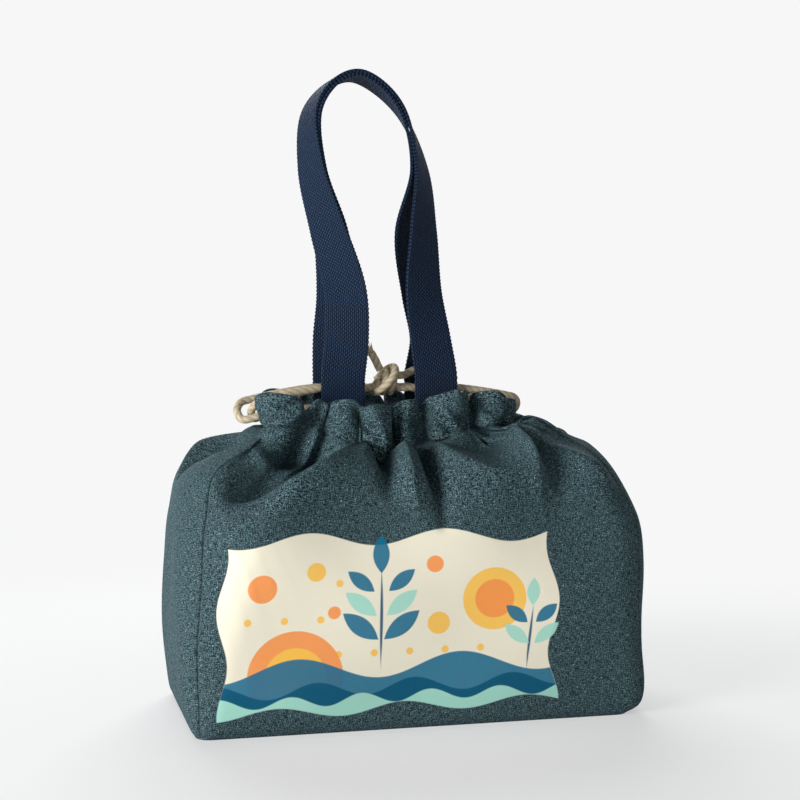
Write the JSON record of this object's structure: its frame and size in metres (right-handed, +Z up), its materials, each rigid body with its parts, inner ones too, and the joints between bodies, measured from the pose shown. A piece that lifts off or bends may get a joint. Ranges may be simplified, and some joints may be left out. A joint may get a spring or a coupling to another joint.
{
  "type": "bento bag",
  "caption": "Boxy canvas bento bag with a lining, a ruffled mouth gathered by drawcords and tied with a knot, and webbing handles that fold down over the front and back.",
  "frame": {"origin": "middle of the base, on the surface that the bag stands on", "axes": "+X along the bag's width to the right as seen from the front, -Y out of the front, +Z up to the handles"},
  "size_m": [0.2642, 0.132, 0.3603],
  "materials": {
    "canvas": "heathered slate blue canvas",
    "lining": "plain weave lining",
    "webbing": "ribbed navy cotton webbing",
    "cord": "natural twisted cotton cord"
  },
  "bodies": {
    "bag": {"front_panel": "canvas", "back_panel": "canvas", "left_gusset": "canvas", "right_gusset": "canvas", "base_panel": "canvas", "lining_front": "lining", "lining_back": "lining", "lining_left": "lining", "lining_right": "lining", "lining_base": "lining", "front_handle_end_left": "webbing", "front_handle_end_right": "webbing", "back_handle_end_left": "webbing", "back_handle_end_right": "webbing", "left_cord_run": "cord", "left_cord_front": "cord", "left_cord_back": "cord", "right_cord_run": "cord", "right_cord_front": "cord", "right_cord_back": "cord", "cord_knot": "cord", "knot_tail_left": "cord", "knot_tail_right": "cord"},
    "front_handle": {"front_handle": "webbing"},
    "back_handle": {"back_handle": "webbing"}
  },
  "joints": [
    {"name": "front_handle_fold", "type": "hinge", "parent": "bag", "child": "front_handle", "pos_m": [-0.0055, -0.012, 0.1833], "axis": [1, 0, 0], "range_deg": [0, 90]},
    {"name": "back_handle_fold", "type": "hinge", "parent": "bag", "child": "back_handle", "pos_m": [-0.0055, 0.012, 0.1833], "axis": [-1, 0, 0], "range_deg": [0, 90]}
  ]
}
